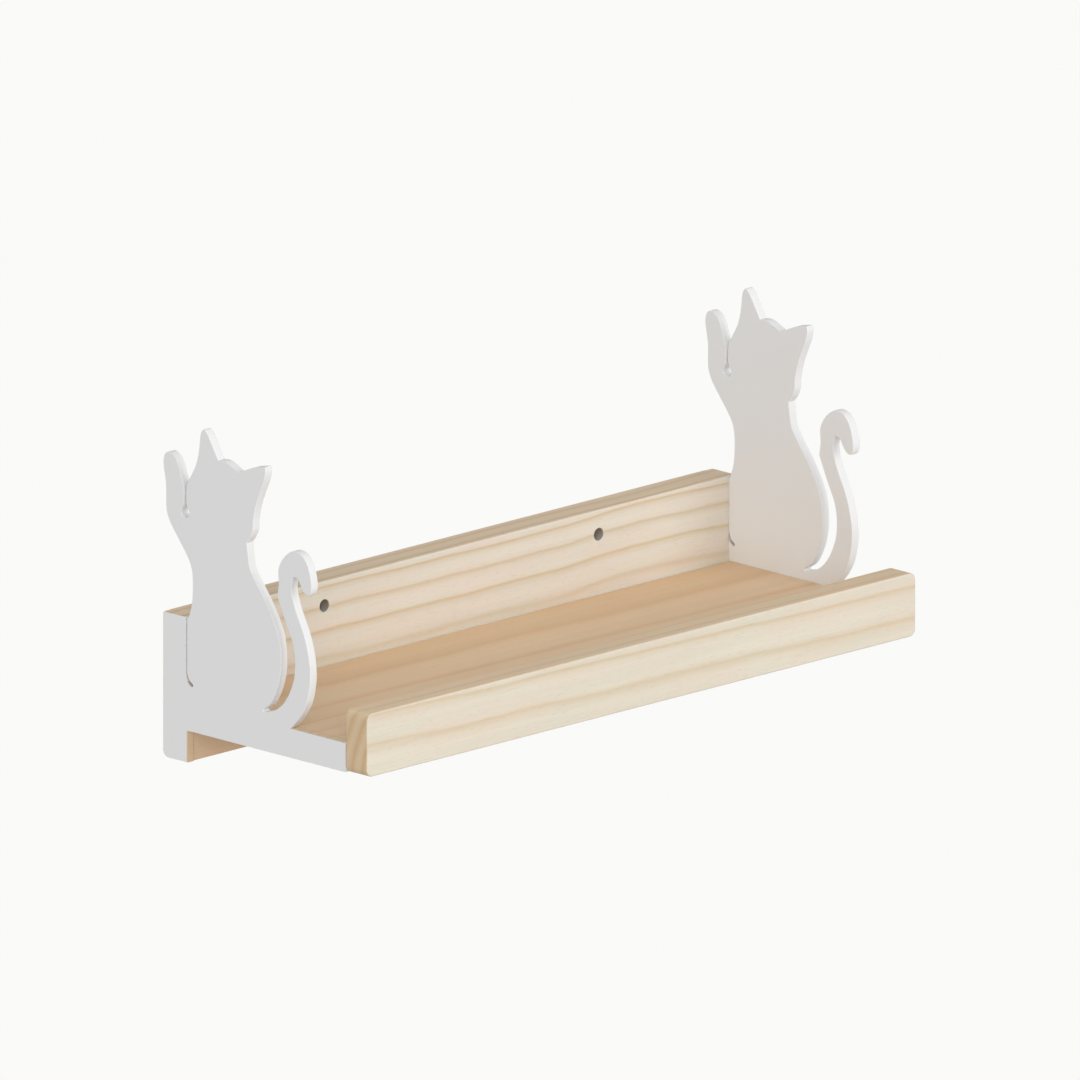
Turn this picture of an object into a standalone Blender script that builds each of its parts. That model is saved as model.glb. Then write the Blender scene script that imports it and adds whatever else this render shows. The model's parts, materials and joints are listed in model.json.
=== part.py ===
"""Wall shelf: a back board, a shelf board and a front rail of pine, between two end panels cut as sitting cats.

Units are metres and +Z is up. +X runs along the shelf and +Y points to the wall. The origin lies on the wall, in
the middle of the length, at the height of the two hanging holes.

Two measures place things on the end panels: "out" is the distance from the wall, and "up" is the height above the
back board's lower edge.
"""

import math

import bmesh
import bpy
from mathutils import Vector

# Driving dimensions
LENGTH = 0.400
DEPTH = 0.150
BACK_THICKNESS = 0.018
BACK_HEIGHT = 0.078
SHELF_THICKNESS = 0.016
SHELF_UNDERSIDE = 0.017
RAIL_THICKNESS = 0.016
RAIL_HEIGHT = 0.034
PANEL_THICKNESS = 0.005
JOINT_GAP = 0.0003

# Hanging holes
HANGING_HEIGHT = 0.065
HANGING_SPACING = 0.200
HANGING_DIAMETER = 0.0066

# Rounded edges and corners
EDGE_RADIUS = 0.001
EDGE_SEGMENTS = 2
RAIL_CORNER_RADIUS = 0.004
RAIL_CORNER_SEGMENTS = 6

# Wood screws, from the wall side into the shelf board
SCREW_SPACING = 0.140
SCREW_LENGTH = 0.040
SCREW_RADIUS = 0.002
SCREW_HEAD_RADIUS = 0.004
SCREW_HEAD_DEPTH = 0.0026
SCREW_SUNK = 0.0006
SCREW_RECESS_WIDTH = 0.0044
SCREW_RECESS_SLOT = 0.0011
SCREW_RECESS_DEPTH = 0.0018
SCREW_POINT = 0.006

# Dowels between the shelf board and the front rail
DOWEL_RADIUS = 0.003
DOWEL_LENGTH = 0.028
DOWEL_IN_RAIL = 0.010
DOWEL_CHAMFER = 0.0008
DOWEL_SPACING = 0.100
DOWEL_COUNT = 4

# Brads that pin each end panel to the board ends, as (out, up)
BACK_BRADS = ((0.009, 0.062), (0.009, 0.009))
SHELF_BRADS = ((0.045, 0.025), (0.110, 0.025))
BRAD_PLACES = BACK_BRADS + SHELF_BRADS
BRAD_RADIUS = 0.0007
BRAD_LENGTH = 0.020
BRAD_HEAD_RADIUS = 0.0011
BRAD_HEAD_HEIGHT = 0.0008
BRAD_SET = 0.0012
BRAD_POINT = 0.0021

# Slit between each cat's chest and the strip of panel that covers the back board's end
SLIT_WIDTH = 0.0009
SLIT_BEHIND_BOARD_FACE = 0.0002
SLIT_LOW = 0.0485
STRIP_CORNER_RADIUS = 0.0015
FOOT_RADIUS = 0.004

# How finely curves are cut
ROUND_SIDES = 24
SMALL_ROUND_SIDES = 12
OUTLINE_TURN = math.radians(10)
SMOOTH_BELOW = math.radians(35)
BEVEL_ABOVE = math.radians(40)

# Levels and planes that follow from the dimensions
LOWER_EDGE_Z = -HANGING_HEIGHT
SHELF_TOP = SHELF_UNDERSIDE + SHELF_THICKNESS
SHELF_MIDDLE = SHELF_UNDERSIDE + SHELF_THICKNESS / 2
PANEL_INNER_X = LENGTH / 2 - PANEL_THICKNESS
BOARD_END_X = PANEL_INNER_X - JOINT_GAP
RAIL_BACK = DEPTH - RAIL_THICKNESS
SHELF_REAR = BACK_THICKNESS + JOINT_GAP
SHELF_FRONT = RAIL_BACK - JOINT_GAP
MM = 0.001

# A cutter starts this far outside the piece it cuts
CUT_THROUGH = 0.002

# Points closer than this are one point
SAME_POINT = 1e-6
SAME_OUTLINE_POINT_MM = 0.01


def remove_old_objects():
    """Empty the scene."""
    for old in list(bpy.data.objects):
        bpy.data.objects.remove(old, do_unlink=True)


def make_material(name, colour, roughness, metallic=0.0):
    """A Principled material with one colour."""
    material = bpy.data.materials.new(name)
    material.use_nodes = True
    shader = material.node_tree.nodes["Principled BSDF"]
    shader.inputs["Base Color"].default_value = (*colour, 1.0)
    shader.inputs["Roughness"].default_value = roughness
    shader.inputs["Metallic"].default_value = metallic
    return material


def place(x, out, up):
    """World position of a point at x along the shelf, out from the wall and up from the lower edge."""
    return Vector((x, -out, up + LOWER_EDGE_Z))


def add_object(name, mesh, material=None):
    """Link a mesh to the scene as a named object, with its material."""
    thing = bpy.data.objects.new(name, mesh)
    bpy.context.scene.collection.objects.link(thing)
    if material:
        mesh.materials.append(material)
    return thing


def mesh_from(name, builder):
    """Close a bmesh into a mesh whose faces point out."""
    bmesh.ops.recalc_face_normals(builder, faces=builder.faces)
    mesh = bpy.data.meshes.new(name)
    builder.to_mesh(mesh)
    builder.free()
    return mesh


def shade_round(mesh):
    """Smooth shading, except across sharp edges."""
    mesh.shade_smooth()
    mesh.set_sharp_from_angle(angle=SMOOTH_BELOW)


def box_mesh(name, size):
    """A box round its own centre."""
    builder = bmesh.new()
    bmesh.ops.create_cube(builder, size=1.0)
    bmesh.ops.scale(builder, vec=size, verts=builder.verts)
    return mesh_from(name, builder)


def turned_mesh(name, profile, sides):
    """A solid turned round Z. The profile is (radius, z) from the axis at the top to the axis at the bottom."""
    builder = bmesh.new()
    points = [builder.verts.new((radius, 0.0, z)) for radius, z in profile]
    edges = [builder.edges.new(pair) for pair in zip(points, points[1:])]
    bmesh.ops.spin(
        builder,
        geom=points + edges,
        cent=(0, 0, 0),
        axis=(0, 0, 1),
        angle=math.tau,
        steps=sides,
    )
    bmesh.ops.remove_doubles(builder, verts=builder.verts, dist=SAME_POINT)
    mesh = mesh_from(name, builder)
    shade_round(mesh)
    return mesh


def round_edges(thing):
    """A small radius on the sharp edges of a board."""
    bevel = thing.modifiers.new("rounded_edges", "BEVEL")
    bevel.width = EDGE_RADIUS
    bevel.segments = EDGE_SEGMENTS
    bevel.limit_method = "ANGLE"
    bevel.angle_limit = BEVEL_ABOVE


def cut(thing, cutter):
    """Subtract the cutter from a piece, and keep the cutter as a hidden guide."""
    cutter.hide_render = True
    cutter.display_type = "WIRE"
    boolean = thing.modifiers.new(cutter.name, "BOOLEAN")
    boolean.operation = "DIFFERENCE"
    boolean.solver = "EXACT"
    boolean.object = cutter


def add_board(name, low, high, material):
    """A board between two opposite corners."""
    board = add_object(name, box_mesh(name, high - low), material)
    board.location = (low + high) / 2
    return board


def corner_pair(x, out_near, out_far, up_low, up_high):
    """Lowest and highest corner of a board that reaches x to both sides of the middle."""
    low = Vector((-x, -out_far, up_low + LOWER_EDGE_Z))
    high = Vector((x, -out_near, up_high + LOWER_EDGE_Z))
    return low, high


def hole_places():
    """X of the two hanging holes."""
    return (-HANGING_SPACING / 2, HANGING_SPACING / 2)


def screw_places():
    """X of the three wood screws."""
    return (-SCREW_SPACING, 0.0, SCREW_SPACING)


def dowel_places():
    """X of the dowels, evenly spaced about the middle."""
    first = -DOWEL_SPACING * (DOWEL_COUNT - 1) / 2
    return [first + index * DOWEL_SPACING for index in range(DOWEL_COUNT)]


def make_back_board(pine):
    """The board against the wall, with its two hanging holes and three countersunk screw holes."""
    board = add_board("back_board", *corner_pair(BOARD_END_X, 0.0, BACK_THICKNESS, 0.0, BACK_HEIGHT), pine)
    round_edges(board)

    reach = BACK_THICKNESS + 2 * CUT_THROUGH
    radius = HANGING_DIAMETER / 2
    profile = ((0, reach / 2), (radius, reach / 2), (radius, -reach / 2), (0, -reach / 2))
    hole = turned_mesh("hanging_hole_cutter", profile, ROUND_SIDES)
    for index, x in enumerate(hole_places()):
        cutter = add_object(f"hanging_hole_cutter_{index + 1}", hole)
        cutter.rotation_euler.x = -math.pi / 2
        cutter.location = place(x, BACK_THICKNESS / 2, HANGING_HEIGHT)
        cut(board, cutter)

    shank = SCREW_RADIUS + JOINT_GAP
    head = SCREW_HEAD_RADIUS + JOINT_GAP
    profile = (
        (0, CUT_THROUGH),
        (head, CUT_THROUGH),
        (head, -JOINT_GAP),
        (shank, -SCREW_HEAD_DEPTH - JOINT_GAP),
        (shank, -BACK_THICKNESS - CUT_THROUGH),
        (0, -BACK_THICKNESS - CUT_THROUGH),
    )
    hole = turned_mesh("screw_hole_cutter", profile, ROUND_SIDES)
    for index, x in enumerate(screw_places()):
        cutter = add_object(f"screw_hole_cutter_{index + 1}", hole)
        cutter.rotation_euler.x = -math.pi / 2
        cutter.location = place(x, SCREW_SUNK, SHELF_MIDDLE)
        cut(board, cutter)

    drill_for_brads(board, BACK_BRADS)


def make_shelf_board(pine):
    """The board that things stand on, with blind holes for the screws and the dowels."""
    corners = corner_pair(BOARD_END_X, SHELF_REAR, SHELF_FRONT, SHELF_UNDERSIDE, SHELF_TOP)
    board = add_board("shelf_board", *corners, pine)
    round_edges(board)

    radius = SCREW_RADIUS + JOINT_GAP
    depth = SCREW_LENGTH - BACK_THICKNESS + CUT_THROUGH
    profile = ((0, CUT_THROUGH), (radius, CUT_THROUGH), (radius, -depth), (0, -depth - radius))
    hole = turned_mesh("screw_pilot_cutter", profile, ROUND_SIDES)
    for index, x in enumerate(screw_places()):
        cutter = add_object(f"screw_pilot_cutter_{index + 1}", hole)
        cutter.rotation_euler.x = -math.pi / 2
        cutter.location = place(x, SHELF_REAR, SHELF_MIDDLE)
        cut(board, cutter)

    drill_for_dowels(board, "shelf_dowel_cutter", DOWEL_LENGTH - DOWEL_IN_RAIL, SHELF_FRONT, 1)
    drill_for_brads(board, SHELF_BRADS)


def make_front_rail(pine):
    """The full-length rail at the front. Seen from the front, its four corners are rounded."""
    name = "front_rail"
    up_high = SHELF_UNDERSIDE + RAIL_HEIGHT
    low, high = corner_pair(LENGTH / 2, RAIL_BACK, DEPTH, SHELF_UNDERSIDE, up_high)
    builder = bmesh.new()
    bmesh.ops.create_cube(builder, size=1.0)
    bmesh.ops.scale(builder, vec=high - low, verts=builder.verts)
    crossways = [edge for edge in builder.edges if edge.verts[0].co.y != edge.verts[1].co.y]
    bmesh.ops.bevel(
        builder,
        geom=crossways,
        offset=RAIL_CORNER_RADIUS,
        segments=RAIL_CORNER_SEGMENTS,
        profile=0.5,
        affect="EDGES",
    )
    rail = add_object(name, mesh_from(name, builder), pine)
    rail.location = (low + high) / 2
    round_edges(rail)
    drill_for_dowels(rail, "rail_dowel_cutter", DOWEL_IN_RAIL, RAIL_BACK, -1)


def drill_for_dowels(board, name, depth, out, towards_wall):
    """Blind holes for the dowels in the face at a distance out, towards the wall (1) or the room (-1)."""
    radius = DOWEL_RADIUS + JOINT_GAP
    end = depth + JOINT_GAP
    profile = ((0, end), (radius, end), (radius, -CUT_THROUGH), (0, -CUT_THROUGH))
    hole = turned_mesh(name, profile, ROUND_SIDES)
    for index, x in enumerate(dowel_places()):
        cutter = add_object(f"{name}_{index + 1}", hole)
        cutter.rotation_euler.x = -towards_wall * math.pi / 2
        cutter.location = place(x, out, SHELF_MIDDLE)
        cut(board, cutter)


def drill_for_brads(board, places):
    """Blind holes for the brads in both ends of a board."""
    radius = BRAD_RADIUS + JOINT_GAP
    end = BRAD_LENGTH + BRAD_SET - PANEL_THICKNESS
    profile = ((0, CUT_THROUGH), (radius, CUT_THROUGH), (radius, -end), (0, -end - radius))
    hole = turned_mesh(f"{board.name}_brad_cutter", profile, SMALL_ROUND_SIDES)
    for side in (-1, 1):
        for index, (out, up) in enumerate(places):
            cutter = add_object(f"{board.name}_brad_cutter_{index + 1}_{side}", hole)
            cutter.rotation_euler.y = side * math.pi / 2
            cutter.location = place(side * BOARD_END_X, out, up)
            cut(board, cutter)


def arc(centre, radius, start, end, steps):
    """Points on a circle between two angles in degrees."""
    angles = [math.radians(start + (end - start) * step / steps) for step in range(steps + 1)]
    return [(centre[0] + radius * math.cos(angle), centre[1] + radius * math.sin(angle)) for angle in angles]


def smooth(knots):
    """A smooth curve through all knots, with a point for about every 10 degrees of bend."""
    knots = [Vector(knot) for knot in knots]
    if len(knots) == 2:
        return knots
    chain = [2 * knots[0] - knots[1], *knots, 2 * knots[-1] - knots[-2]]
    points = [knots[0]]
    for before, start, end, after in zip(chain, chain[1:], chain[2:], chain[3:]):
        times = [0.0]
        for left, right in ((before, start), (start, end), (end, after)):
            times.append(times[-1] + math.sqrt((right - left).length))
        chord = end - start
        bend = chord.angle(end - before) + chord.angle(after - start)
        count = max(1, math.ceil(bend / OUTLINE_TURN))
        for step in range(1, count + 1):
            time = times[1] + (times[2] - times[1]) * step / count
            points.append(curve_point((before, start, end, after), times, time))
    return points


def curve_point(knots, times, time):
    """A point of the centripetal Catmull-Rom curve between the second and third of four knots."""
    points = list(knots)
    for first, span in ((0, 1), (0, 2), (1, 1)):
        mixed = []
        for index in range(len(points) - 1):
            start = times[first + index]
            share = (time - start) / (times[first + index + span] - start)
            mixed.append(points[index].lerp(points[index + 1], share))
        points = mixed
    return points[0]


def panel_outline():
    """The end panel's outline in millimetres, as (out, up). Each stretch is smooth, and they meet in corners."""
    strip = BACK_THICKNESS / MM
    strip_top = BACK_HEIGHT / MM
    base_low = SHELF_UNDERSIDE / MM
    base_top = SHELF_TOP / MM
    front = SHELF_FRONT / MM
    slit_chest = strip - SLIT_BEHIND_BOARD_FACE / MM
    slit_wall = slit_chest - SLIT_WIDTH / MM
    slit_low = SLIT_LOW / MM
    foot_radius = FOOT_RADIUS / MM
    top_radius = STRIP_CORNER_RADIUS / MM

    foot = (*arc((foot_radius, foot_radius), foot_radius, 180, 270, 6), (strip, 0))
    base = ((strip, 0), (strip, base_low), (front, base_low), (front, base_top), (94, base_top))
    tail_outside = (
        (94, base_top), (97, 36), (101, 40.5), (105, 47), (107.3, 54.5), (108.3, 62.5), (107.8, 70.5),
        (105.8, 79), (102.7, 87), (98.7, 94.5), (95.6, 102), (94.3, 108.5), (95.3, 114.3),
    )
    tail_hook = (
        (95.3, 114.3), (98.8, 113.5), (101.5, 109.5), (104.2, 106.8), (107.2, 106.5), (109, 109.5),
        (108.6, 115.5), (106.5, 122), (102.3, 127), (96.7, 128.3), (91.5, 126), (87, 121.5), (84.5, 116),
        (84.8, 109), (83.8, 102),
    )
    tail_inside = (
        (83.8, 102), (86.5, 96), (90, 88.5), (94, 81), (96.2, 74), (96.8, 67), (96, 60), (93.8, 54),
        (90.5, 48), (86, 43), (80.5, 39.6), (74.4, 38),
    )
    tail_root = arc((74.2, 38.8), 0.8, 270, 90, 6)
    back = (
        (74.2, 39.6), (77.8, 42), (81.2, 46.5), (84.6, 54), (86.5, 62.5), (86.6, 71), (85.1, 80), (81, 89),
        (75.5, 97.5), (69.5, 105), (65.6, 110),
    )
    nape = ((65.6, 110), (63.6, 114), (62.6, 119), (61.6, 126))
    cheek = (
        (61.6, 126), (64, 129), (66, 133.5), (66.5, 139.5), (68, 146), (70.6, 153), (73.8, 160), (75.4, 166),
        (75, 169.2),
    )
    rear_ear = ((75, 169.2), (67.5, 167.6), (61.5, 165.2), (55.5, 162.6))
    crown = ((55.5, 162.6), (50, 165.2), (45.5, 166.6), (40.8, 166.3))
    front_ear = (
        (40.8, 166.3), (37, 172.5), (33.6, 178), (30.2, 180.8), (27.8, 178.5), (26.9, 173), (26, 167),
        (24, 160.5), (21, 155), (18.3, 150.8), (17.2, 147.5), (16.85, 144), (16.85, 141), (17.2, 138),
        (18.3, 135.6),
    )
    keyhole = arc((16.4, 133.7), 2.7, 45, -225, 18)
    paw = (
        (14.5, 135.6), (15.5, 138), (15.75, 141), (15.75, 144), (15.3, 148), (14, 152), (12.2, 157),
        (9.2, 162), (5, 164), (1.6, 162.5), (0.3, 158), (1.2, 152), (2.2, 146), (2.3, 140), (2.7, 132),
        (5.9, 125.5), (11.1, 119), (16, 113), (20, 107), (21.6, 101), (21.8, 94), (21.2, 86), (19.6, 80.5),
        (18.6, strip_top),
    )
    slit_front = ((18.6, strip_top), (slit_chest, strip_top - 0.8), (slit_chest, slit_low))
    slit_end_front = ((slit_chest, slit_low), (18.6, 46.2), (19.9, 44), (21.7, 42.7))
    slit_end = arc((21.3, 42), 0.8, 60, -120, 6)
    slit_end_wall = ((20.9, 41.3), (18.7, 42.9), (17.3, 45.5), (slit_wall, slit_low))
    strip_corner = arc((top_radius, strip_top - top_radius), top_radius, 90, 180, 3)
    strip_side = ((slit_wall, slit_low), (slit_wall, strip_top), *strip_corner)

    outline = []
    as_given = (foot, base, tail_root, keyhole, slit_front, slit_end, strip_side)
    order = (
        foot, base, tail_outside, tail_hook, tail_inside, tail_root, back, nape, cheek, rear_ear, crown,
        front_ear, keyhole, paw, slit_front, slit_end_front, slit_end, slit_end_wall, strip_side,
    )
    for stretch in order:
        points = [Vector(point) for point in stretch] if stretch in as_given else smooth(stretch)
        for point in points:
            if not outline or (point - outline[-1]).length > SAME_OUTLINE_POINT_MM:
                outline.append(point)
    return outline


def make_end_panel(name, side, paint):
    """One cat-shaped end panel: side is -1 at the left end and 1 at the right end."""
    builder = bmesh.new()
    corners = [builder.verts.new(place(0.0, point.x * MM, point.y * MM)) for point in panel_outline()]
    face = builder.faces.new(corners)
    pushed = bmesh.ops.extrude_face_region(builder, geom=[face])
    moved = [item for item in pushed["geom"] if isinstance(item, bmesh.types.BMVert)]
    bmesh.ops.translate(builder, vec=(side * PANEL_THICKNESS, 0, 0), verts=moved)
    panel = add_object(name, mesh_from(name, builder), paint)
    panel.location.x = side * PANEL_INNER_X

    radius = BRAD_HEAD_RADIUS + JOINT_GAP
    depth = PANEL_THICKNESS - BRAD_SET + JOINT_GAP
    profile = ((0, depth), (radius, depth), (radius, -CUT_THROUGH), (0, -CUT_THROUGH))
    hole = turned_mesh(f"{name}_brad_cutter", profile, SMALL_ROUND_SIDES)
    for index, (out, up) in enumerate(BRAD_PLACES):
        cutter = add_object(f"{name}_brad_cutter_{index + 1}", hole)
        cutter.rotation_euler.y = side * math.pi / 2
        cutter.location = place(side * PANEL_INNER_X, out, up)
        cut(panel, cutter)


def make_screws(steel):
    """Three countersunk wood screws, heads just below the back board's rear face."""
    profile = (
        (0, 0),
        (SCREW_HEAD_RADIUS, 0),
        (SCREW_HEAD_RADIUS, -JOINT_GAP),
        (SCREW_RADIUS, -SCREW_HEAD_DEPTH),
        (SCREW_RADIUS, SCREW_POINT - SCREW_LENGTH),
        (0, -SCREW_LENGTH),
    )
    arm = Vector((SCREW_RECESS_WIDTH, SCREW_RECESS_SLOT, 2 * SCREW_RECESS_DEPTH))
    arm_mesh = box_mesh("screw_recess_cutter", arm)
    for side, x in zip(("left", "centre", "right"), screw_places()):
        screw = add_object(f"rear_screw_{side}", turned_mesh("wood_screw", profile, ROUND_SIDES), steel)
        screw.rotation_euler.x = -math.pi / 2
        screw.location = place(x, SCREW_SUNK, SHELF_MIDDLE)
        for quarter in range(2):
            cutter = add_object(f"screw_recess_cutter_{side}_{quarter + 1}", arm_mesh)
            cutter.rotation_euler = (-math.pi / 2, quarter * math.pi / 2, 0)
            cutter.location = screw.location
            cut(screw, cutter)


def make_dowels(beech):
    """Four dowels, each partly in the shelf board and partly in the rail."""
    half = DOWEL_LENGTH / 2
    waist = half - DOWEL_CHAMFER
    tip = DOWEL_RADIUS - DOWEL_CHAMFER
    profile = ((0, half), (tip, half), (DOWEL_RADIUS, waist), (DOWEL_RADIUS, -waist), (tip, -half), (0, -half))
    for index, x in enumerate(dowel_places()):
        dowel = add_object(f"rail_dowel_{index + 1}", turned_mesh("dowel", profile, ROUND_SIDES), beech)
        dowel.rotation_euler.x = -math.pi / 2
        dowel.location = place(x, RAIL_BACK + DOWEL_IN_RAIL - half, SHELF_MIDDLE)


def make_brads(steel):
    """Four brads at each end, heads set below the panel's face."""
    profile = (
        (0, 0),
        (BRAD_HEAD_RADIUS, 0),
        (BRAD_HEAD_RADIUS, -BRAD_HEAD_HEIGHT),
        (BRAD_RADIUS, -BRAD_HEAD_HEIGHT),
        (BRAD_RADIUS, BRAD_POINT - BRAD_LENGTH),
        (0, -BRAD_LENGTH),
    )
    for end, side in (("left", -1), ("right", 1)):
        for index, (out, up) in enumerate(BRAD_PLACES):
            mesh = turned_mesh("brad", profile, SMALL_ROUND_SIDES)
            brad = add_object(f"{end}_panel_brad_{index + 1}", mesh, steel)
            brad.rotation_euler.y = side * math.pi / 2
            brad.location = place(side * (LENGTH / 2 - BRAD_SET), out, up)


def main():
    remove_old_objects()
    pine = make_material("pine", (0.78, 0.66, 0.49), 0.55)
    paint = make_material("white_paint", (0.87, 0.87, 0.86), 0.45)
    beech = make_material("beech", (0.66, 0.50, 0.34), 0.6)
    steel = make_material("zinc_steel", (0.62, 0.62, 0.60), 0.35, 1.0)
    make_back_board(pine)
    make_shelf_board(pine)
    make_front_rail(pine)
    make_end_panel("left_cat_panel", -1, paint)
    make_end_panel("right_cat_panel", 1, paint)
    make_screws(steel)
    make_dowels(beech)
    make_brads(steel)


main()
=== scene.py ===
"""Looks of the wall shelf: pine boards and a pine rail between two white end panels cut as sitting cats.

Units are metres, in the frame's own axes: +X along the shelf, +Y to the wall, +Z up. Each visible piece is built
finer than its CAD node and stands for it. All places come from the frame; only roundings, chamfers and the like,
which the frame doesn't hold, are named here.
"""

import json
import math

import bmesh
import bpy
from mathutils import Matrix, Vector


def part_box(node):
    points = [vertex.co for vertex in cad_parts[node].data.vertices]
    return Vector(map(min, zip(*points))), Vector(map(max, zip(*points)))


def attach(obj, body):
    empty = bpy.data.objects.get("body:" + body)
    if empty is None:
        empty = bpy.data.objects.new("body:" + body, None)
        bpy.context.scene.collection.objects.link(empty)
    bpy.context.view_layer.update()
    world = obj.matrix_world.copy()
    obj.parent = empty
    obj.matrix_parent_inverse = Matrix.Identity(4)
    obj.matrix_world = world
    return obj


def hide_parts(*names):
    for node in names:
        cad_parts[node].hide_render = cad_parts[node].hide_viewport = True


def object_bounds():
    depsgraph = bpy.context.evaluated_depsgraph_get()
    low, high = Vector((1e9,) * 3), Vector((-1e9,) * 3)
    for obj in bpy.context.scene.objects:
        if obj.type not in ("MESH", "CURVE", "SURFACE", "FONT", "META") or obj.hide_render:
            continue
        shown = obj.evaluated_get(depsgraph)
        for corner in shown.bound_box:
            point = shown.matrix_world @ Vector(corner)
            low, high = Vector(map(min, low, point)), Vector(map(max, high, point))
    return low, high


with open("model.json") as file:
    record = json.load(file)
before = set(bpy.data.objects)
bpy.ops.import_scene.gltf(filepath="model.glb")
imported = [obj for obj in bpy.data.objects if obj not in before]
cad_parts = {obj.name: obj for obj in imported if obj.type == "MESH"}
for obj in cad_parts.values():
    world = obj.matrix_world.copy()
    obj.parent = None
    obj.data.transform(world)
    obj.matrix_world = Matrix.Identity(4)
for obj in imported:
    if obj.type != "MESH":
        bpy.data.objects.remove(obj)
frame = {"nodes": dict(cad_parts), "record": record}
cad_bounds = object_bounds()

MM = 0.001
WELD = 0.001 * MM
SAME_PLACE = 0.01 * MM
FIT_GAP = 0.3 * MM

# Rounded edges of the boards and of the rail
BOARD_ROUNDING = 1.0 * MM
BOARD_ROUNDING_STEPS = 5
SAWN_END_ROUNDING = 0.12 * MM
SAWN_END_STEPS = 2
SNUG = 0.25 * MM
BOARD_CORNER_TURN = math.radians(45)
SHADED_SHARP_TURN = math.radians(30)
RAIL_CORNER = 4.0 * MM
RAIL_CORNER_STEPS = 12

# End panels: rim rounding, and how their CAD outline is refined
RIM_ROUNDING = 0.6 * MM
CRISP_RIM_ROUNDING = 0.2 * MM
SLIT_BEHIND_FACE = 2.0 * MM
SLIT_BEFORE_FACE = 6.0 * MM
RIM_STEPS = 4
CORNER_TURN = math.radians(32)
FINE_TURN = math.radians(3)
STRAIGHT_RUN = 9.5 * MM
LONGEST_MITRE = 2.0

# End panels: what their edges are finished with: paint, bare pine, and a darker colour that is painted shade in
# the slit
PAINTED, BARE_PINE, SLIT_SHADE = range(3)

# Holes and their eased edges
HOLE_SIDES = 64
HOLE_CHAMFER = 0.2 * MM
HANGING_RADIUS = 3.3 * MM
CUT_BEYOND = 2.0 * MM
COUNTERSINK_DEPTH = 2.9 * MM
SCREW_HOLE_RADIUS = 2.3 * MM

# Fasteners
SCREW_SIDES = 48
SCREW_HEAD_DEPTH = 2.6 * MM
SCREW_HEAD_RIM = 0.2 * MM
SCREW_SHANK = 1.55 * MM
THREAD_PITCH = 1.6 * MM
THREAD_START = 12.0 * MM
THREAD_STEP = 0.2 * MM
POINT_LENGTH = 5.0 * MM
RECESS_LENGTH = 4.6 * MM
RECESS_WIDTH = 1.1 * MM
RECESS_DEPTH = 1.9 * MM
RECESS_NARROWING = 0.45
DOWEL_FLUTES = 16
FLUTE_DEPTH = 0.15 * MM
DOWEL_CHAMFER = 0.8 * MM
BRAD_SHANK = 0.7 * MM
BRAD_HEAD_HEIGHT = 0.8 * MM
BRAD_HEAD_RIM = 0.15 * MM

# Camera: the side and height it looks from, and what it takes in
CAMERA_AZIMUTH = math.radians(-44.84)
CAMERA_ELEVATION = math.radians(15.16)
CAMERA_DISTANCE = 2.0
VIEW_WIDTH = 0.5583
VIEW_RIGHT = 0.05324
VIEW_UP = 0.01215

# Studio
BACKDROP = (0.9560, 0.9560, 0.9387)
ROOM_LIGHT = 0.57
LAMPS = {
    "key": (0.96, math.radians(35), Vector((0.25, -1.0, 0.30))),
    "fill": (1.10, math.radians(45), Vector((-0.75, -0.65, 0.40))),
    "back": (1.00, math.radians(10), Vector((0.25, 1.0, -0.20))),
}
FLOOR_DROP = 0.60
FLOOR_SIZE = 60.0


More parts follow.
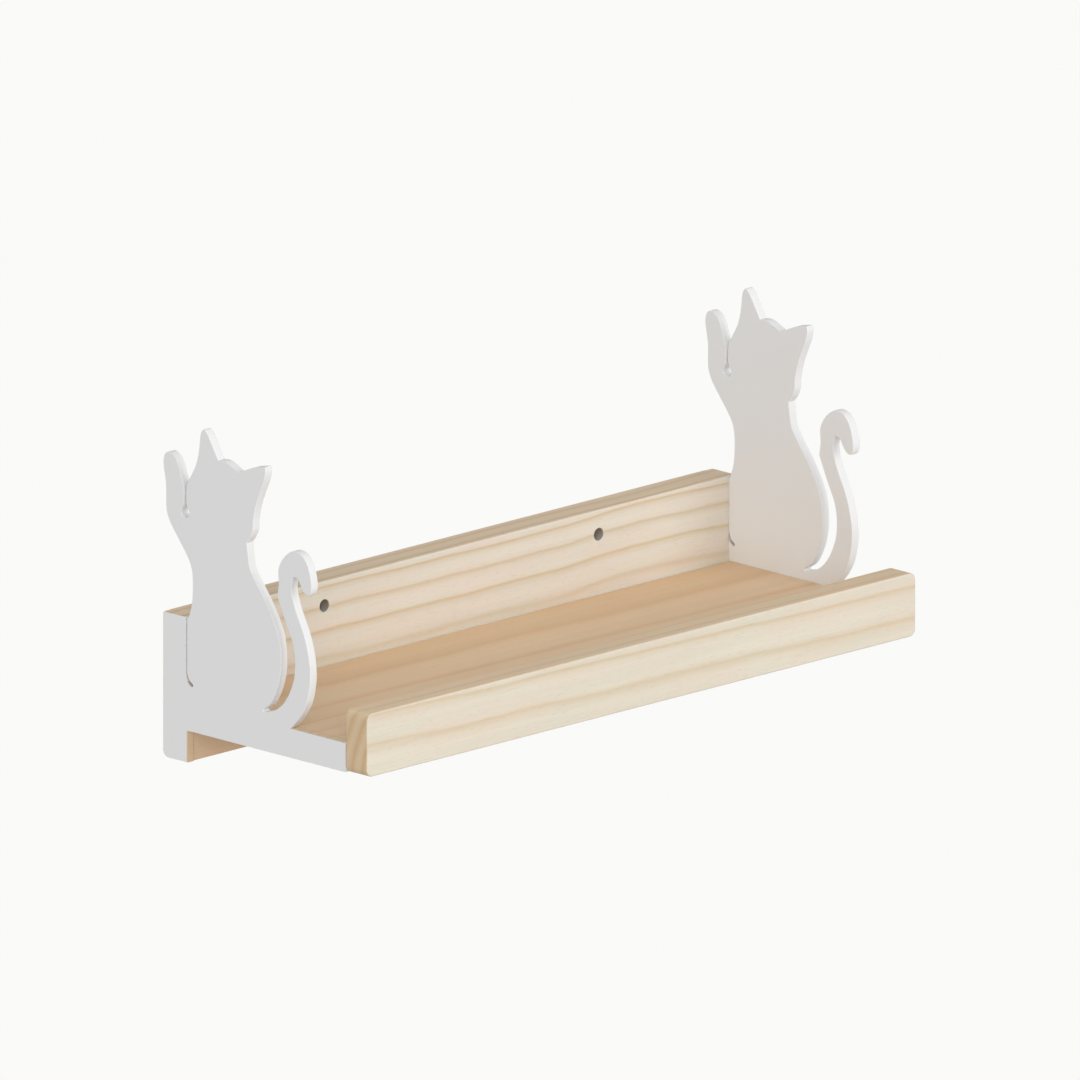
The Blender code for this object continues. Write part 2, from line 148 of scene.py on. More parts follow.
class Finish:
    """A Principled material whose nodes are added and wired by short calls."""

    def __init__(self, name):
        self.material = bpy.data.materials.new(name)
        self.material.use_nodes = True
        self.tree = self.material.node_tree
        self.shader = self.tree.nodes["Principled BSDF"]
        self.coordinates = self.add("TexCoord", {})
        self.place = self.coordinates.outputs["Object"]

    def feed(self, socket, value):
        """Wire another node's output into a socket, or set the socket to a plain value."""
        if isinstance(value, bpy.types.NodeSocket):
            self.tree.links.new(value, socket)
        else:
            socket.default_value = value

    def add(self, kind, inputs, **settings):
        """A new node with its settings, and its inputs by name."""
        node = self.tree.nodes.new("ShaderNode" + kind)
        for name, value in settings.items():
            setattr(node, name, value)
        for name, value in inputs.items():
            self.feed(node.inputs[name], value)
        return node

    def sum(self, operation, *values):
        """The result of a Math node."""
        node = self.add("Math", {}, operation=operation)
        for socket, value in zip(node.inputs, values):
            self.feed(socket, value)
        return node.outputs[0]

    def vector(self, operation, first, second=(0.0, 0.0, 0.0)):
        """A Vector Math node."""
        node = self.add("VectorMath", {}, operation=operation)
        self.feed(node.inputs[0], first)
        self.feed(node.inputs[1], second)
        return node

    def split(self, vector):
        """The X, Y and Z of a vector."""
        return self.add("SeparateXYZ", {"Vector": vector}).outputs

    def noise(self, grain, detail=2.0, shift=(0.0, 0.0, 0.0)):
        """Noise from 0 to 1, with grains of these lengths along X, Y and Z."""
        scale = [1 / length for length in grain]
        mapped = self.add("Mapping", {"Vector": self.place, "Scale": scale, "Location": shift})
        node = self.add("TexNoise", {"Vector": mapped.outputs[0], "Scale": 1.0, "Detail": detail})
        return node.outputs["Fac"]

    def ease(self, value, start, end, low=0.0, high=1.0):
        """Low at start, high at end, and a smooth step between them."""
        inputs = {"Value": value, "From Min": start, "From Max": end, "To Min": low, "To Max": high}
        return self.add("MapRange", inputs, interpolation_type="SMOOTHSTEP").outputs[0]

    def scale(self, value, low, high):
        """A value from 0 to 1 spread between low and high."""
        return self.add("MapRange", {"Value": value, "To Min": low, "To Max": high}).outputs[0]

    def ramp(self, value, stops):
        """Grey from a ramp of (position, level) stops."""
        node = self.add("ValToRGB", {"Fac": value})
        elements = node.color_ramp.elements
        while len(elements) < len(stops):
            elements.new(0.5)
        for element, (position, level) in zip(elements, stops):
            element.position = position
            element.color = (level, level, level, 1.0)
        return node.outputs["Color"]

    def mix(self, factor, first, second, blend="MIX"):
        """Two colours mixed."""
        inputs = {"Fac": factor, "Color1": first, "Color2": second}
        return self.add("MixRGB", inputs, blend_type=blend).outputs["Color"]

    def bump(self, height, distance, strength):
        """Small relief on the surface."""
        inputs = {"Height": height, "Distance": distance, "Strength": strength}
        self.feed(self.shader.inputs["Normal"], self.add("Bump", inputs).outputs["Normal"])

    def surface(self, colour, roughness, metallic=0.0):
        """Wire colour and roughness to the shader."""
        self.feed(self.shader.inputs["Base Color"], colour)
        self.feed(self.shader.inputs["Roughness"], roughness)
        self.feed(self.shader.inputs["Metallic"], metallic)
        return self.material


def opaque(red, green, blue):
    """A colour with full alpha."""
    return (red, green, blue, 1.0)


EARLY_WOOD = opaque(0.745, 0.672, 0.555)
LATE_WOOD = opaque(0.640, 0.500, 0.320)
# Painted shade: a browner, darker tint for tops, ends and edges of the pine
SIDE_SHADE_TINT = opaque(0.96, 0.825, 0.67)
# Painted shade: a darker, greyer tint for the walls of the holes
HOLE_SHADE_TINT = (0.63, 0.77, 1.05)
# Painted shade: a darker tint for the back board's front face under the shelf
UNDER_SHELF_SHADE_TINT = opaque(1.0, 0.90, 0.83)
PINKISH = opaque(1.012, 0.985, 0.975)
YELLOWISH = opaque(0.992, 1.008, 1.000)


def pine(name, pith, along, ring, contrast=1.0, swelling=None, tint=(1.0, 1.0, 1.0), shade_painted_below=None):
    """Planed pine. Its growth rings are round the log's heart: a line through pith that runs along a direction.

    ring is the width of one year's growth, and contrast is how strongly the rings show. swelling is (x, half
    length, height) of a place where the rings bulge. tint multiplies the colour. Faces that point to the front or
    back keep the pale colour, as painted glare, and all other faces get a browner, darker tint, as painted shade.
    Below the height that the last argument gives, even the front face gets that painted shade, and a further
    darker tint, as painted shade under the shelf.
    """
    wood = Finish(name)
    x = wood.split(wood.place)["X"]

    away = wood.vector("SUBTRACT", wood.place, pith)
    across = wood.vector("CROSS_PRODUCT", away.outputs[0], Vector(along).normalized())
    radius = wood.vector("LENGTH", across.outputs[0]).outputs["Value"]
    wander = wood.scale(wood.noise((0.110, 0.040, 0.040), 1.5), -1.0 * MM, 1.0 * MM)
    ripple = wood.scale(wood.noise((0.030, 0.015, 0.015), 1.0), -0.35 * MM, 0.35 * MM)
    radius = wood.sum("ADD", radius, wood.sum("ADD", wander, ripple))
    if swelling:
        middle, reach, height = swelling
        distance = wood.sum("ABSOLUTE", wood.sum("SUBTRACT", x, middle))
        radius = wood.sum("SUBTRACT", radius, wood.ease(distance, reach, 0.0, 0.0, height))

    years = wood.sum("DIVIDE", radius, ring)
    season = wood.sum("FRACT", years)
    year = wood.sum("FLOOR", years)
    vigour = wood.add("TexWhiteNoise", {"W": year}, noise_dimensions="1D").outputs["Value"]
    late = wood.ramp(season, ((0.0, 0.62), (0.10, 0.12), (0.3, 0.0), (0.66, 0.05), (0.84, 0.42), (0.95, 1.0)))
    late = wood.sum("MULTIPLY", late, wood.scale(vigour, 0.55 * contrast, contrast))
    normal = wood.split(wood.coordinates.outputs["Normal"])
    end_grain = wood.ease(wood.sum("ABSOLUTE", normal["X"]), 0.6, 0.9)
    soft_late = wood.ramp(season, ((0.0, 0.55), (0.22, 0.15), (0.45, 0.0), (0.70, 0.40), (0.88, 0.75)))
    late = wood.mix(end_grain, late, soft_late)

    fibre = wood.noise((0.045, 0.9 * MM, 0.9 * MM), 3.0)
    streak = wood.noise((0.22, 6.0 * MM, 6.0 * MM), 2.0)
    cloud = wood.noise((0.12, 0.05, 0.05), 1.0)
    pores = wood.ease(wood.noise((5.0 * MM, 0.35 * MM, 0.35 * MM), 0.0), 0.68, 0.78)

    colour = wood.mix(late, EARLY_WOOD, LATE_WOOD)
    shade = wood.sum("MULTIPLY", wood.scale(fibre, 0.955, 1.045), wood.scale(streak, 0.94, 1.06))
    shade = wood.sum("MULTIPLY", shade, wood.scale(cloud, 0.97, 1.03))
    shade = wood.sum("MULTIPLY", shade, wood.sum("SUBTRACT", 1.0, wood.sum("MULTIPLY", pores, 0.08)))
    colour = wood.vector("SCALE", colour)
    wood.feed(colour.inputs["Scale"], shade)
    warmth = wood.ease(wood.noise((0.05, 9.0 * MM, 9.0 * MM), 2.0, (0.7, 0.3, 0.1)), 0.35, 0.65)
    warmth = wood.mix(warmth, PINKISH, YELLOWISH)
    colour = wood.mix(1.0, colour.outputs[0], warmth, "MULTIPLY")
    colour = wood.mix(1.0, colour, opaque(*tint), "MULTIPLY")

    # Painted light: faces pointing to the front or back keep the pale colour as painted glare; tops, ends and
    # edges get a browner, darker tint as painted shade
    front_glare = wood.ease(wood.sum("ABSOLUTE", normal["Y"]), 0.25, 0.75)
    # Painted shade under the shelf: below the given height the front face gets the side tint and a further darker
    # tint
    if shade_painted_below is not None:
        height = wood.split(wood.place)["Z"]
        clear_of_shelf_shade = wood.ease(height, shade_painted_below - 1.0 * MM, shade_painted_below)
        clear_of_shelf_shade = wood.sum("MAXIMUM", clear_of_shelf_shade, wood.ease(normal["Y"], 0.0, 0.5))
        front_glare = wood.sum("MULTIPLY", front_glare, clear_of_shelf_shade)
        colour = wood.mix(clear_of_shelf_shade, wood.mix(1.0, colour, UNDER_SHELF_SHADE_TINT, "MULTIPLY"), colour)
    painted_side_shade = wood.mix(1.0, colour, SIDE_SHADE_TINT, "MULTIPLY")
    colour = wood.mix(front_glare, painted_side_shade, colour)
    cells = wood.ease(wood.noise((0.3 * MM, 0.3 * MM, 0.3 * MM), 1.0), 0.35, 0.75)
    speckle = wood.sum("MULTIPLY", end_grain, cells)
    colour = wood.mix(wood.sum("MULTIPLY", speckle, 0.16), colour, LATE_WOOD, "MULTIPLY")

    relief = wood.sum("ADD", wood.sum("MULTIPLY", fibre, 0.7), wood.sum("MULTIPLY", late, 0.35))
    relief = wood.sum("SUBTRACT", relief, wood.sum("MULTIPLY", wood.sum("ADD", pores, speckle), 0.5))
    wood.bump(relief, 0.08 * MM, 0.35)
    rough = wood.sum("ADD", wood.scale(fibre, 0.50, 0.62), wood.sum("MULTIPLY", late, -0.08))
    rough = wood.sum("ADD", rough, wood.sum("MULTIPLY", end_grain, 0.12))
    return wood.surface(colour, rough)


def white_paint():
    """Satin white paint, sprayed: a faint orange peel and hardly any change of tone."""
    paint = Finish("white_paint")
    cloud = paint.noise((0.06, 0.06, 0.06), 2.0)
    peel = paint.noise((1.6 * MM, 1.6 * MM, 1.6 * MM), 2.0)
    wave = paint.noise((9.0 * MM, 9.0 * MM, 9.0 * MM), 1.0)
    colour = paint.mix(cloud, opaque(0.800, 0.802, 0.800), opaque(0.822, 0.822, 0.818))
    relief = paint.sum("ADD", paint.sum("MULTIPLY", peel, 0.4), wave)
    paint.bump(relief, 0.05 * MM, 0.18)
    return paint.surface(colour, paint.scale(peel, 0.40, 0.50))


def slit_shade_board():
    """A darker grey-brown fibre-board colour for the slit's walls: painted shade in the narrow slit."""
    board = Finish("slit_shade_board")
    fibre = board.noise((0.5 * MM, 0.5 * MM, 0.5 * MM), 3.0)
    colour = board.mix(fibre, opaque(0.56, 0.50, 0.44), opaque(0.68, 0.61, 0.54))
    board.bump(fibre, 0.05 * MM, 0.4)
    return board.surface(colour, board.scale(fibre, 0.75, 0.90))


def beech():
    """Beech dowel wood: pinkish, with short dark flecks along the grain."""
    wood = Finish("beech")
    fibre = wood.noise((0.4 * MM, 12.0 * MM, 0.4 * MM), 3.0)
    flecks = wood.ease(wood.noise((0.25 * MM, 2.0 * MM, 0.25 * MM), 0.0), 0.62, 0.74)
    colour = wood.mix(fibre, opaque(0.50, 0.35, 0.22), opaque(0.64, 0.47, 0.31))
    colour = wood.mix(wood.sum("MULTIPLY", flecks, 0.5), colour, opaque(0.36, 0.22, 0.13))
    wood.bump(wood.sum("SUBTRACT", fibre, flecks), 0.05 * MM, 0.4)
    return wood.surface(colour, wood.scale(fibre, 0.55, 0.68))


def zinc_steel():
    """Bright zinc plating: a fine crystal pattern, and duller patches where it was handled."""
    metal = Finish("zinc_steel")
    inputs = {"Vector": metal.place, "Scale": 1 / (0.9 * MM)}
    crystal = metal.add("TexVoronoi", inputs).outputs["Color"]
    patches = metal.noise((1.5 * MM, 1.5 * MM, 1.5 * MM), 3.0)
    tone = metal.mix(patches, opaque(0.56, 0.57, 0.58), opaque(0.72, 0.72, 0.70))
    colour = metal.mix(0.08, tone, crystal, "MULTIPLY")
    metal.bump(patches, 0.02 * MM, 0.3)
    return metal.surface(colour, metal.scale(patches, 0.24, 0.42), 1.0)


def mesh_of(builder, name):
    """Close a builder into a mesh whose faces all point outwards."""
    bmesh.ops.recalc_face_normals(builder, faces=builder.faces)
    mesh = bpy.data.meshes.new(name)
    builder.to_mesh(mesh)
    builder.free()
    return mesh


def link(name, mesh, materials=()):
    """Put a mesh in the scene as an object."""
    thing = bpy.data.objects.new(name, mesh)
    bpy.context.scene.collection.objects.link(thing)
    for material in materials:
        mesh.materials.append(material)
    return thing


def carve(piece, cutter):
    """Cut a cutter's shape out of a piece for good, with the cutter's material on the cut, and remove the cutter.

    The weld afterwards clears the faces without area that a cut can leave.
    """
    boolean = piece.modifiers.new("cut", "BOOLEAN")
    boolean.operation = "DIFFERENCE"
    boolean.solver = "EXACT"
    boolean.material_mode = "TRANSFER"
    boolean.object = cutter
    graph = bpy.context.evaluated_depsgraph_get()
    mesh = bpy.data.meshes.new_from_object(piece.evaluated_get(graph))
    piece.modifiers.clear()
    piece.data = mesh
    bpy.data.objects.remove(cutter)

    builder = bmesh.new()
    builder.from_mesh(mesh)
    bmesh.ops.remove_doubles(builder, verts=builder.verts, dist=WELD)
    bmesh.ops.dissolve_degenerate(builder, edges=builder.edges, dist=WELD)
    builder.to_mesh(mesh)
    builder.free()


def shade(piece):
    """Smooth shading that keeps the flat faces flat and the real corners sharp."""
    piece.data.shade_smooth()
    piece.data.set_sharp_from_angle(angle=SHADED_SHARP_TURN)
    weighted = piece.modifiers.new("face_weighted_normals", "WEIGHTED_NORMAL")
    weighted.keep_sharp = True


def stand_for(piece, node):
    """The piece shows in place of a CAD node."""
    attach(piece, "root")
    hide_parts(node)


def at(point, direction):
    """The matrix that takes +Z at the origin to a direction at a point."""
    return Matrix.Translation(point) @ Vector(direction).to_track_quat("Z", "Y").to_matrix().to_4x4()


def add_turned(builder, profile, sides, placed, relief=None):
    """Add a solid turned round Z, from (radius, z) on the axis at the top to the same at the bottom.

    relief(angle, z) is added to the radius, for a thread or flutes.
    """
    rows = []
    for radius, z in profile:
        row = []
        for index in range(sides if radius else 1):
            angle = math.tau * index / sides
            reach = radius + relief(angle, z) if relief and radius else radius
            row.append(builder.verts.new(placed @ Vector((reach * math.cos(angle), reach * math.sin(angle), z))))
        rows.append(row)
    for upper, lower in zip(rows, rows[1:]):
        for index in range(sides):
            after = index + 1
            corners = []
            for row, place in ((upper, index), (upper, after), (lower, after), (lower, index)):
                corner = row[place % len(row)]
                if corner not in corners:
                    corners.append(corner)
            builder.faces.new(corners)


def middle_and_size(node):
    """A CAD node's middle, and its size along each axis."""
    low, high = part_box(node)
    return (low + high) / 2, high - low


def head_end(node, outwards):
    """Where a fastener's axis leaves it on the side that outwards points to."""
    middle, size = middle_and_size(node)
    return middle + Vector([reach * part / 2 for reach, part in zip(outwards, size)])


def nodes_named(start):
    """The CAD nodes whose names begin with start, in order."""
    return sorted(name for name in frame["nodes"] if name.startswith(start))


def add_blind_hole(builder, node, outwards):
    """Add a cutter for the hole that a dowel or a brad sits in."""
    _, size = middle_and_size(node)
    sizes = sorted(size)
    radius = sizes[0] / 2 + FIT_GAP
    end = FIT_GAP
    profile = ((0, end), (radius, end), (radius, -sizes[2] - FIT_GAP), (0, -sizes[2] - FIT_GAP - radius))
    add_turned(builder, profile, HOLE_SIDES // 2, at(head_end(node, outwards), outwards))


def add_hanging_holes(builder):
    """Add cutters for the two hanging holes, with eased edges on both faces of the back board."""
    board, size = middle_and_size("back_board")
    half = size.y / 2
    wide = HANGING_RADIUS + HOLE_CHAMFER + CUT_BEYOND
    profile = (
        (0, half + CUT_BEYOND),
        (wide, half + CUT_BEYOND),
        (HANGING_RADIUS, half - HOLE_CHAMFER),
        (HANGING_RADIUS, -half + HOLE_CHAMFER),
        (wide, -half - CUT_BEYOND),
        (0, -half - CUT_BEYOND),
    )
    for opening in frame["record"]["physics"]["openings"]:
        if opening["name"].endswith("hanging_hole"):
            low, high = opening["box_m"]
            place = (Vector(low) + Vector(high)) / 2
            place.y = board.y
            add_turned(builder, profile, HOLE_SIDES, at(place, (0, 1, 0)))


def add_screw_holes(builder):
    """Add cutters for the countersunk screw holes through the back board and on into the shelf board."""
    for node in nodes_named("rear_screw"):
        _, size = middle_and_size(node)
        head = size.x / 2 + FIT_GAP
        profile = (
            (0, CUT_BEYOND),
            (head, CUT_BEYOND),
            (head, -FIT_GAP),
            (SCREW_HOLE_RADIUS, -COUNTERSINK_DEPTH),
            (SCREW_HOLE_RADIUS, -size.y - FIT_GAP),
            (0, -size.y - FIT_GAP - SCREW_HOLE_RADIUS),
        )
        add_turned(builder, profile, HOLE_SIDES, at(head_end(node, (0, 1, 0)), (0, 1, 0)))


def add_fastener_holes(builder):
    """Add cutters for every dowel and brad."""
    for node in nodes_named("rail_dowel"):
        add_blind_hole(builder, node, (0, -1, 0))
    for node in nodes_named("left_panel_brad"):
        add_blind_hole(builder, node, (-1, 0, 0))
    for node in nodes_named("right_panel_brad"):
        add_blind_hole(builder, node, (1, 0, 0))


def round_off(builder, edges, radius, steps):
    """Round edges of a board."""
    bmesh.ops.bevel(
        builder,
        geom=edges,
        offset=radius,
        segments=steps,
        profile=0.5,
        affect="EDGES",
    )


def sharp_edges(builder):
    """The edges where a board turns a corner."""
    return [edge for edge in builder.edges if edge.calc_face_angle() > BOARD_CORNER_TURN]


def make_rail_shape(builder):
    """Round the rail's four corners as seen from the front, and then all its edges."""
    crossways = [edge for edge in builder.edges if edge.verts[0].co.y != edge.verts[1].co.y]
    round_off(builder, crossways, RAIL_CORNER, RAIL_CORNER_STEPS)
    round_off(builder, sharp_edges(builder), BOARD_ROUNDING, BOARD_ROUNDING_STEPS)


def make_snug_shape(builder):
    """Round a board's long edges. Its ends are sawn square and sit tight against the end panels."""
    for vert in builder.verts:
        vert.co.x += math.copysign(SNUG, vert.co.x)
    lengthways = [edge for edge in builder.edges if edge.verts[0].co.x != edge.verts[1].co.x]
    round_off(builder, lengthways, BOARD_ROUNDING, BOARD_ROUNDING_STEPS)
    round_off(builder, sharp_edges(builder), SAWN_END_ROUNDING, SAWN_END_STEPS)


def make_board(node, make_shape, material, hole_shaded_finish, cutters):
    """A pine board with eased edges and real holes, shaped from a plain block by make_shape."""
    middle, size = middle_and_size(node)
    builder = bmesh.new()
    bmesh.ops.create_cube(builder, size=1.0)
    bmesh.ops.scale(builder, vec=size, verts=builder.verts)
    make_shape(builder)
    bmesh.ops.translate(builder, vec=middle, verts=builder.verts)
    piece = link(node + "_fine", mesh_of(builder, node), [material])

    holes = bmesh.new()
    for add_holes in cutters:
        add_holes(holes)
    carve(piece, link(node + "_holes", mesh_of(holes, "holes"), [hole_shaded_finish]))
    shade(piece)
    stand_for(piece, node)


def outline_of(node, outer):
    """The outline of a CAD panel's outer face, in order, as (y, z). It always starts at the same corner."""
    builder = bmesh.new()
    builder.from_mesh(frame["nodes"][node].data)
    bmesh.ops.remove_doubles(builder, verts=builder.verts, dist=WELD)
    on_face = {face for face in builder.faces if all(abs(vert.co.x - outer) < WELD * 10 for vert in face.verts)}
    rim = {edge for edge in builder.edges if len(on_face.intersection(edge.link_faces)) == 1}
    start = min((vert for edge in rim for vert in edge.verts), key=lambda vert: (vert.co.y, vert.co.z))
    here = start
    outline = []
    while True:
        outline.append(Vector((here.co.y, here.co.z)))
        edge = next(edge for edge in here.link_edges if edge in rim)
        rim.remove(edge)
        here = edge.other_vert(here)
        if here is start:
            break
    builder.free()
    return outline


def turn_at(before, here, after):
    """How far an outline turns at a point."""
    return (here - before).angle(after - here)


def between(knots, share):
    """A point of the centripetal Catmull-Rom curve, a share of the way from the second knot to the third."""
    times = [0.0]
    for left, right in zip(knots, knots[1:]):
        times.append(times[-1] + math.sqrt((right - left).length))
    time = times[1] + (times[2] - times[1]) * share
    points = list(knots)
    for span in (1, 2):
        points = [
            left.lerp(right, (time - times[index]) / (times[index + span] - times[index]))
            for index, (left, right) in enumerate(zip(points, points[1:]))
        ]
    return points[0].lerp(points[1], share)


def refined(outline):
    """The outline with more points along its curves. Corners and straight runs stay as they are."""
    count = len(outline)
    turns = [turn_at(outline[index - 1], outline[index], outline[(index + 1) % count]) for index in range(count)]
    fine = []
    for index, start in enumerate(outline):
        following = (index + 1) % count
        end = outline[following]
        before, after = outline[index - 1], outline[(index + 2) % count]
        bend = 0.0
        if turns[index] > CORNER_TURN:
            before = 2 * start - end
        else:
            bend += turns[index]
        if turns[following] > CORNER_TURN:
            after = 2 * end - start
        else:
            bend += turns[following]
        straight = (end - start).length > STRAIGHT_RUN
        steps = 1 if straight else max(1, math.ceil(bend / 2 / FINE_TURN))
        fine += [start] + [between((before, start, end, after), step / steps) for step in range(1, steps)]
    return fine


def inwards(before, here, after):
    """The step that moves a corner of an anticlockwise outline in by one unit."""
    first = (here - before).normalized().orthogonal()
    second = (after - here).normalized().orthogonal()
    step = (first + second) / (1 + first.dot(second))
    if step.length > LONGEST_MITRE:
        step *= LONGEST_MITRE / step.length
    return step


def in_slit(point, back, shelf):
    """Whether a point of a panel's outline is in the slit, which ends just in front of the back board's face."""
    before_face = back[0].y - point.x
    between_tops = shelf[1].z + SAME_PLACE < point.y < back[1].z + SAME_PLACE
    return -SLIT_BEHIND_FACE < before_face < SLIT_BEFORE_FACE and between_tops


def rim_sizes(outline, finishes, back, shelf):
    """How much the rim is rounded at each point: less in the slit and on bare edges, which are not sanded."""
    sizes = []
    for index, point in enumerate(outline):
        crisp = in_slit(point, back, shelf) or BARE_PINE in (finishes[index - 1], finishes[index])
        sizes.append(CRISP_RIM_ROUNDING if crisp else RIM_ROUNDING)
    return [(sizes[index - 1] + size + sizes[(index + 1) % len(sizes)]) / 3 for index, size in enumerate(sizes)]


def signed_area(outline):
    """Above zero for an anticlockwise outline."""
    return sum(a.x * b.y - a.y * b.x for a, b in zip(outline, outline[1:] + outline[:1])) / 2


def finish_of(ends, back, shelf):
    """What a stretch of a panel's edge is finished with."""
    if any(all(abs(end.y - top) < SAME_PLACE for end in ends) for top in (back[1].z, shelf[1].z)):
        return BARE_PINE
    if all(abs(end.x - back[0].y) < SAME_PLACE and end.y < shelf[0].z + SAME_PLACE for end in ends):
        return BARE_PINE
    # The slit's walls get a darker grey-brown colour: painted shade in the narrow slit
    if all(in_slit(end, back, shelf) and end.x < back[0].y for end in ends):
        return SLIT_SHADE
    return PAINTED


def make_panel(node, side, brads, materials):
    """An end panel with softly rounded rims. Strips that cover board ends have bare edges, and the slit's walls
    are a darker grey-brown, as painted shade.
    """
    low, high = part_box(node)
    back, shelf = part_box("back_board"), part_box("shelf_board")
    outer, inner = (low.x, high.x) if side < 0 else (high.x, low.x)
    outline = outline_of(node, outer)
    if signed_area(outline) < 0:
        outline.reverse()
    outline = refined(outline)
    count = len(outline)
    steps = [inwards(outline[index - 1], outline[index], outline[(index + 1) % count]) for index in range(count)]
    finishes = [finish_of((outline[index], outline[(index + 1) % count]), back, shelf) for index in range(count)]
    steps = [step * size for step, size in zip(steps, rim_sizes(outline, finishes, back, shelf))]

    builder = bmesh.new()
    rounding = []
    for index in range(RIM_STEPS + 1):
        angle = math.pi / 2 * index / RIM_STEPS
        rounding.append((RIM_ROUNDING * (1 - math.cos(angle)), 1 - math.sin(angle)))
    levels = [(inner + side * depth, share) for depth, share in rounding]
    levels += [(outer - side * depth, share) for depth, share in reversed(rounding)]
    rings = []
    for x, share in levels:
        moved = [point + step * share for point, step in zip(outline, steps)]
        rings.append([builder.verts.new((x, point.x, point.y)) for point in moved])
    for near, far in zip(rings, rings[1:]):
        for index in range(count):
            after = (index + 1) % count
            face = builder.faces.new((near[index], near[after], far[after], far[index]))
            face.material_index = finishes[index]
    builder.faces.new(rings[0])
    builder.faces.new(rings[-1])
    piece = link(node + "_fine", mesh_of(builder, node), materials)

    holes = bmesh.new()
    for brad in nodes_named(brads):
        add_blind_hole(holes, brad, (side, 0, 0))
    carve(piece, link(node + "_holes", mesh_of(holes, "holes"), materials[:1]))
    shade(piece)
    stand_for(piece, node)


def make_screw(node, steel):
    """A countersunk wood screw with a cross recess, a thread and a point."""
    _, size = middle_and_size(node)
    head, crest, length = size.x / 2, SCREW_SHANK, size.y
    placed = at(head_end(node, (0, 1, 0)), (0, 1, 0))
    ridge = size.z / 4 - crest

    def thread(angle, z):
        depth = -z
        run_in = min(1.0, max(0.0, (depth - THREAD_START) / THREAD_PITCH))
        fade = run_in * min(1.0, (length - depth) / POINT_LENGTH)
        turn = (depth / THREAD_PITCH - angle / math.tau) % 1.0
        return ridge * fade * max(0.0, 1 - abs(turn - 0.5) * 4)

    profile = [
        (0, 0),
        (head - SCREW_HEAD_RIM, 0),
        (head, -SCREW_HEAD_RIM),
        (crest, -SCREW_HEAD_DEPTH),
        (crest, -THREAD_START),
    ]
    rows = round((length - THREAD_START) / THREAD_STEP)
    for row in range(1, rows):
        depth = THREAD_START + row * THREAD_STEP
        profile.append((crest * min(1.0, (length - depth) / POINT_LENGTH), -depth))
    profile.append((0, -length))
    builder = bmesh.new()
    add_turned(builder, profile, SCREW_SIDES, placed, thread)
    screw = link(node + "_fine", mesh_of(builder, node), [steel])

    # The cross is cut one slot at a time, because a cutter that runs through itself leaves nothing of the screw
    for quarter in range(2):
        slot = bmesh.new()
        bmesh.ops.create_cube(slot, size=1.0)
        for vert in slot.verts:
            narrowing = RECESS_NARROWING if vert.co.z < 0 else 1.0
            along, across = vert.co.x * RECESS_LENGTH * narrowing, vert.co.y * RECESS_WIDTH * narrowing
            vert.co = (along, across, vert.co.z * 2 * RECESS_DEPTH)
        turned = placed @ Matrix.Rotation(quarter * math.pi / 2, 4, "Z")
        bmesh.ops.transform(slot, matrix=turned, verts=slot.verts)
        carve(screw, link(node + "_recess", mesh_of(slot, "recess"), [steel]))
    shade(screw)
    stand_for(screw, node)


def make_dowel(node, wood):
    """A fluted dowel with chamfered ends."""
    _, size = middle_and_size(node)
    radius, length = size.x / 2, size.y
    tip = radius - DOWEL_CHAMFER

    def flutes(angle, z):
        return -FLUTE_DEPTH * (1 + math.cos(angle * DOWEL_FLUTES)) / 2

    profile = (
        (0, 0),
        (tip, 0),
        (radius, -DOWEL_CHAMFER),
        (radius, DOWEL_CHAMFER - length),
        (tip, -length),
        (0, -length),
    )
    builder = bmesh.new()
    add_turned(builder, profile, DOWEL_FLUTES * 6, at(head_end(node, (0, 1, 0)), (0, 1, 0)), flutes)
    dowel = link(node + "_fine", mesh_of(builder, node), [wood])
    shade(dowel)
    stand_for(dowel, node)


def make_brad(node, side, steel):
    """A brad with a small barrel head and a sharp point."""
    _, size = middle_and_size(node)
    head, length = size.y / 2, size.x
    rim = BRAD_HEAD_RIM
    profile = (
        (0, 0),
        (head - rim, 0),
        (head, -rim),
        (head, -BRAD_HEAD_HEIGHT),
        (BRAD_SHANK, -BRAD_HEAD_HEIGHT - rim),
        (BRAD_SHANK, -length + 3 * BRAD_SHANK),
        (0, -length),
    )
    builder = bmesh.new()
    add_turned(builder, profile, HOLE_SIDES // 2, at(head_end(node, (side, 0, 0)), (side, 0, 0)))
    brad = link(node + "_fine", mesh_of(builder, node), [steel])
    shade(brad)
    stand_for(brad, node)


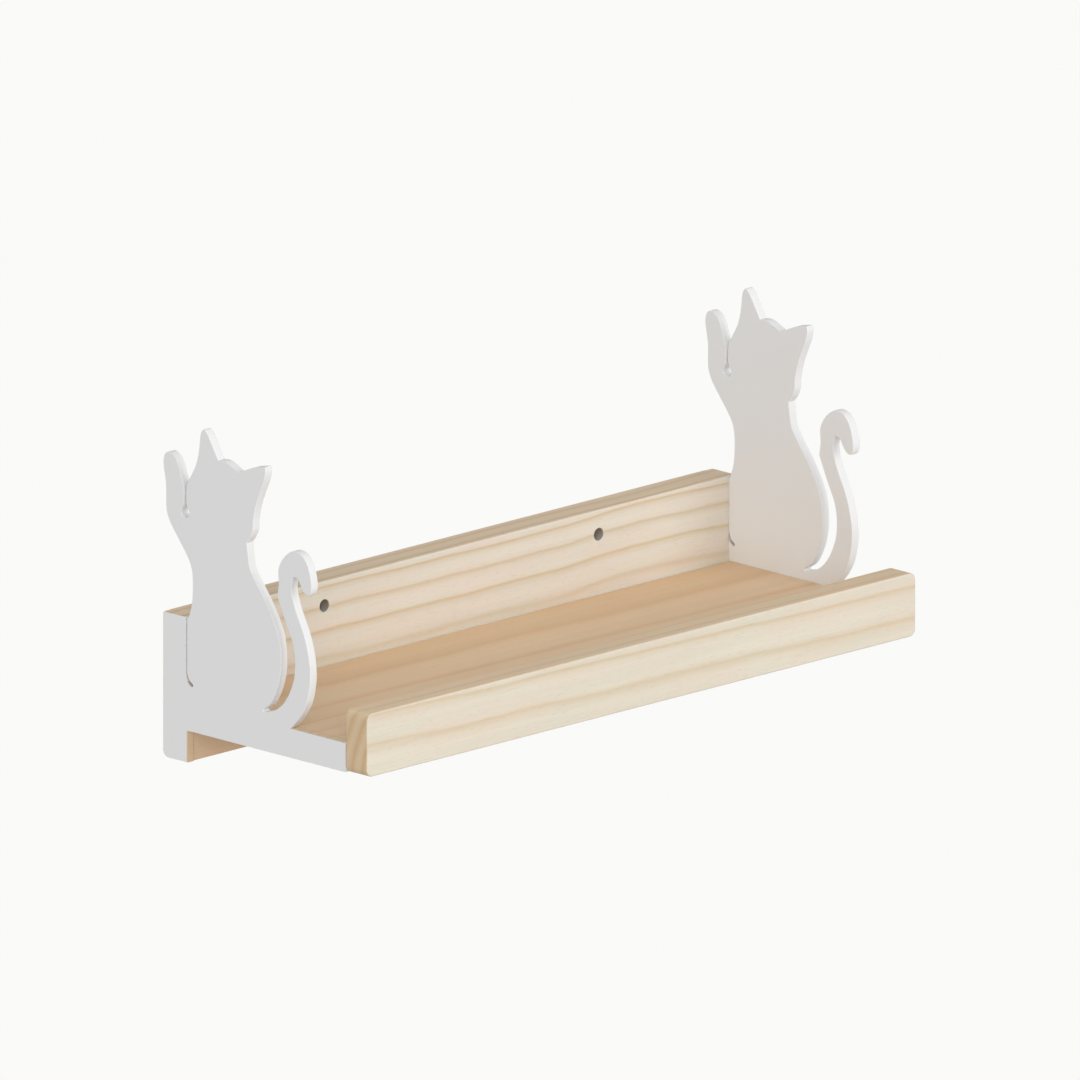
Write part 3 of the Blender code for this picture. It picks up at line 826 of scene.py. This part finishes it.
def make_pieces():
    """All pieces of the shelf."""
    back_low, back_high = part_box("back_board")
    shelf_low, shelf_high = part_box("shelf_board")
    rail_low, rail_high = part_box("front_rail")
    back_log = {
        "pith": (0.0, back_low.y + 80 * MM, back_high.z - 72 * MM),
        "along": (1.0, 0.0, 0.0),
        "ring": 6.6 * MM,
    }
    back_pine = pine(
        "back_pine",
        **back_log,
        swelling=(0.135, 0.070, 1.5 * MM),
        tint=(0.975, 1.005, 1.07),
        # painted shade on the front face under the shelf
        shade_painted_below=shelf_low.z,
    )
    shelf_pine = pine(
        "shelf_pine",
        pith=(0.0, shelf_high.y - 12 * MM, shelf_high.z - 90 * MM),
        along=(1.0, -0.02, 0.0),
        ring=10.2 * MM,
        contrast=0.75,
        tint=(1.06, 1.00, 0.97),
    )
    rail_pine = pine(
        "rail_pine",
        pith=(0.0, rail_low.y - 70 * MM, rail_high.z - 49 * MM),
        along=(1.0, 0.0, -0.016),
        ring=7.58 * MM,
        contrast=0.8,
    )
    # Hole walls: the back board's pine, tinted darker and greyer as painted shade inside the holes
    hole_shaded_pine = pine("hole_shaded_pine", **back_log, tint=HOLE_SHADE_TINT)
    holes = (add_hanging_holes, add_screw_holes, add_fastener_holes)
    make_board("back_board", make_snug_shape, back_pine, hole_shaded_pine, holes)
    make_board("shelf_board", make_snug_shape, shelf_pine, hole_shaded_pine, (add_screw_holes, add_fastener_holes))
    make_board("front_rail", make_rail_shape, rail_pine, hole_shaded_pine, (add_fastener_holes,))

    panel_materials = (white_paint(), back_pine, slit_shade_board())
    make_panel("left_cat_panel", -1, "left_panel_brad", panel_materials)
    make_panel("right_cat_panel", 1, "right_panel_brad", panel_materials)

    steel = zinc_steel()
    for node in nodes_named("rear_screw"):
        make_screw(node, steel)
    wood = beech()
    for node in nodes_named("rail_dowel"):
        make_dowel(node, wood)
    for side, start in ((-1, "left_panel_brad"), (1, "right_panel_brad")):
        for node in nodes_named(start):
            make_brad(node, side, steel)


def make_floor():
    """A plain pale floor far below the shelf, which is made to hang on a wall."""
    bpy.ops.mesh.primitive_plane_add(size=FLOOR_SIZE, location=(0, 0, cad_bounds[0].z - FLOOR_DROP))
    floor = bpy.context.object
    floor.name = "floor"
    material = bpy.data.materials.new("floor_white")
    material.use_nodes = True
    nodes = material.node_tree.nodes
    nodes.remove(nodes["Principled BSDF"])
    glow = nodes.new("ShaderNodeEmission")
    glow.inputs["Color"].default_value = opaque(*BACKDROP)
    material.node_tree.links.new(glow.outputs[0], nodes["Material Output"].inputs["Surface"])
    floor.data.materials.append(material)
    floor.visible_diffuse = False
    floor.visible_glossy = False


def make_light():
    """Even room light from all round, with a key from the front, a fill from the left and a light from behind."""
    world = bpy.data.worlds.new("studio")
    bpy.context.scene.world = world
    world.use_nodes = True
    tree = world.node_tree
    seen = tree.nodes["Background"]
    seen.inputs["Color"].default_value = opaque(*BACKDROP)
    room = tree.nodes.new("ShaderNodeBackground")
    room.inputs["Color"].default_value = opaque(ROOM_LIGHT, ROOM_LIGHT, ROOM_LIGHT)
    path = tree.nodes.new("ShaderNodeLightPath")
    choose = tree.nodes.new("ShaderNodeMixShader")
    tree.links.new(path.outputs["Is Camera Ray"], choose.inputs["Fac"])
    tree.links.new(room.outputs[0], choose.inputs[1])
    tree.links.new(seen.outputs[0], choose.inputs[2])
    tree.links.new(choose.outputs[0], tree.nodes["World Output"].inputs["Surface"])

    for name, (strength, softness, direction) in LAMPS.items():
        sun = bpy.data.lights.new(name, "SUN")
        sun.energy = strength
        sun.angle = softness
        lamp = bpy.data.objects.new(name, sun)
        lamp.rotation_euler = direction.to_track_quat("Z", "Y").to_euler()
        bpy.context.scene.collection.objects.link(lamp)


def make_camera():
    """A camera without perspective, to the left of the shelf and a little above it."""
    across, rise = CAMERA_AZIMUTH, CAMERA_ELEVATION
    right = Vector((math.cos(across), math.sin(across), 0))
    back = Vector((math.sin(across) * math.cos(rise), -math.cos(across) * math.cos(rise), math.sin(rise)))
    up = back.cross(right)
    lens = bpy.data.cameras.new("camera")
    lens.type = "ORTHO"
    lens.ortho_scale = VIEW_WIDTH
    camera = bpy.data.objects.new("camera", lens)
    bpy.context.scene.collection.objects.link(camera)
    turn = Matrix((right, up, back)).transposed().to_4x4()
    place = right * VIEW_RIGHT + up * VIEW_UP + back * CAMERA_DISTANCE
    camera.matrix_world = Matrix.Translation(place) @ turn
    bpy.context.scene.camera = camera


make_pieces()
make_floor()
make_light()
make_camera()
bpy.context.scene.view_settings.view_transform = "Standard"
